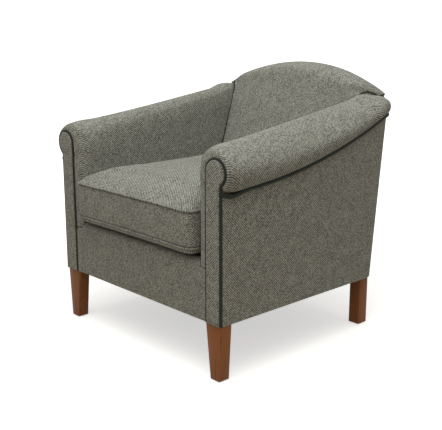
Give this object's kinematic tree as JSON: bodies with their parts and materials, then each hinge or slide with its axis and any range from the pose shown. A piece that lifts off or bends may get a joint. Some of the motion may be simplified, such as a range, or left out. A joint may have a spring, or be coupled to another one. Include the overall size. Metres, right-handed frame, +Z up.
{
  "type": "tub chair",
  "caption": "Upholstered tub chair with low scroll arms rising to an arched back, a loose piped seat cushion, dark contrast piping and tapered wooden legs.",
  "frame": {"origin": "on the floor under the middle of the chair's box", "axes": "+Z up, +Y towards the back of the chair, +X to the right as seen from the front"},
  "size_m": [0.787, 0.7586, 0.7929],
  "materials": {
    "tweed": "chunky two-tone tweed",
    "contrast_piping": "smooth covered cord",
    "deck_cloth": "plain platform cloth",
    "dust_cloth": "thin spun cloth",
    "hessian": "open hessian",
    "webbing": "woven elastic webbing",
    "felt": "pressed felt",
    "zip_tape": "woven tape with coil",
    "padding": "foam",
    "leg_wood": "satin lacquer",
    "frame_wood": "planed beech",
    "steel": "zinc plated",
    "zip_metal": "satin"
  },
  "bodies": {
    "root": {"front_seat_rail": "frame_wood", "back_seat_rail": "frame_wood", "side_seat_rail_left": "frame_wood", "side_seat_rail_right": "frame_wood", "corner_blocks": "frame_wood", "corner_block_screws": "steel", "front_post_left": "frame_wood", "front_post_right": "frame_wood", "back_post_left": "frame_wood", "back_post_right": "frame_wood", "arm_top_rail_left": "frame_wood", "arm_top_rail_right": "frame_wood", "arm_tack_rail_left": "frame_wood", "arm_tack_rail_right": "frame_wood", "crest_rail": "frame_wood", "back_tack_rail": "frame_wood", "frame_dowels": "frame_wood", "scroll_board_left": "frame_wood", "scroll_board_right": "frame_wood", "seat_springs": "steel", "spring_clips": "steel", "seat_hessian": "hessian", "back_webbing": "webbing", "dust_cover": "dust_cloth", "seat_deck_pad": "padding", "front_border_pad": "padding", "arm_pad_left": "padding", "arm_pad_right": "padding", "back_pad": "padding", "seat_deck_cover": "deck_cloth", "front_border_cover": "tweed", "inside_arm_cover_left": "tweed", "inside_arm_cover_right": "tweed", "outside_arm_panel_left": "tweed", "outside_arm_panel_right": "tweed", "inside_back_cover": "tweed", "outside_back_panel": "tweed", "arm_facing_left": "tweed", "arm_facing_right": "tweed", "facing_piping_left": "contrast_piping", "facing_piping_right": "contrast_piping", "arm_piping_left": "contrast_piping", "arm_piping_right": "contrast_piping", "front_leg_left": "leg_wood", "front_leg_right": "leg_wood", "back_leg_left": "leg_wood", "back_leg_right": "leg_wood", "leg_bolts": "steel", "leg_glides": "felt"},
    "seat_cushion": {"cushion_core": "padding", "cushion_top_panel": "tweed", "cushion_bottom_panel": "tweed", "cushion_boxing": "tweed", "cushion_piping_top": "tweed", "cushion_piping_bottom": "tweed", "cushion_zip": "zip_tape"},
    "zip_slider": {"cushion_zip_slider": "zip_metal"}
  },
  "joints": [
    {"name": "cushion_lift", "type": "slide", "parent": "root", "child": "seat_cushion", "axis": [0, 0, 1], "range_m": [0, 0.35]},
    {"name": "zip_slide", "type": "slide", "parent": "seat_cushion", "child": "zip_slider", "axis": [1, 0, 0], "range_m": [0, 0.366]}
  ]
}
